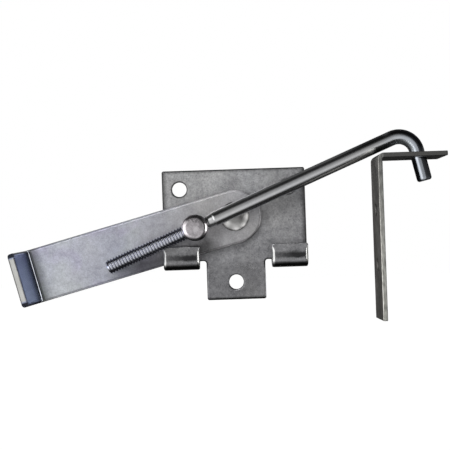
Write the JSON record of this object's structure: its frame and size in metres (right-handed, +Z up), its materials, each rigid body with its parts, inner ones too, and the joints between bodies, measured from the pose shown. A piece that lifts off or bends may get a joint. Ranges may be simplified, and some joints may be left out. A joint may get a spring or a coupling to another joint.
{
  "type": "gravity gate latch",
  "caption": "Gravity gate latch: a riveted lever on a T-shaped mounting plate draws a threaded hook rod into the hole of an L-shaped strike.",
  "frame": {"origin": "centre of the mounting plate's three-hole bolt circle, on the plate's back face", "axes": "+Y into the surface the plate is bolted to, so the front faces -Y; +X to the right as seen from the front, towards the strike; +Z up. The lever is down in the left rest hook, which is joint value 0"},
  "size_m": [0.3029, 0.0399, 0.1316],
  "materials": {
    "plate_zinc": "mottled satin zinc plating on pressed sheet steel",
    "rivet_zinc": "bright zinc plating on a formed rivet head",
    "washer_zinc": "dull zinc plating",
    "lever_zinc": "satin bluish zinc plating on flat bar",
    "stud_zinc": "bright zinc plating on a turned stud",
    "rod_zinc": "smooth bright zinc plating on drawn bar",
    "strike_zinc": "satin zinc plating on bent flat bar, with sheared edges"
  },
  "bodies": {
    "plate": {"mounting_plate": "plate_zinc", "pivot_rivet": "rivet_zinc", "spacer_washer": "washer_zinc"},
    "lever": {"lever_handle": "lever_zinc"},
    "stud": {"swivel_stud": "stud_zinc", "stud_washer": "washer_zinc"},
    "rod": {"hook_rod": "rod_zinc"},
    "strike": {"strike_bracket": "strike_zinc"}
  },
  "joints": [
    {"name": "lever_pivot", "type": "hinge", "parent": "plate", "child": "lever", "pos_m": [0, -0.0078, 0.0017], "axis": [0, 1, 0], "range_deg": [0, 140]},
    {"name": "stud_swivel", "type": "hinge", "parent": "lever", "child": "stud", "pos_m": [-0.02763, -0.0078, -0.0056], "axis": [0, 1, 0], "range_deg": [-157, 0]},
    {"name": "rod_adjust", "type": "slide", "parent": "stud", "child": "rod", "axis": [0.9229, 0, 0.3851], "range_m": [-0.004, 0.055]},
    {"name": "strike_follow", "type": "slide", "parent": "plate", "child": "strike", "axis": [0.9229, 0, 0.3851], "range_m": [-0.004, 0.055]}
  ],
  "couplings": [
    {"joint": "stud_swivel", "follows": "lever_pivot", "ratio": -1.12},
    {"joint": "strike_follow", "follows": "rod_adjust", "ratio": 1}
  ]
}
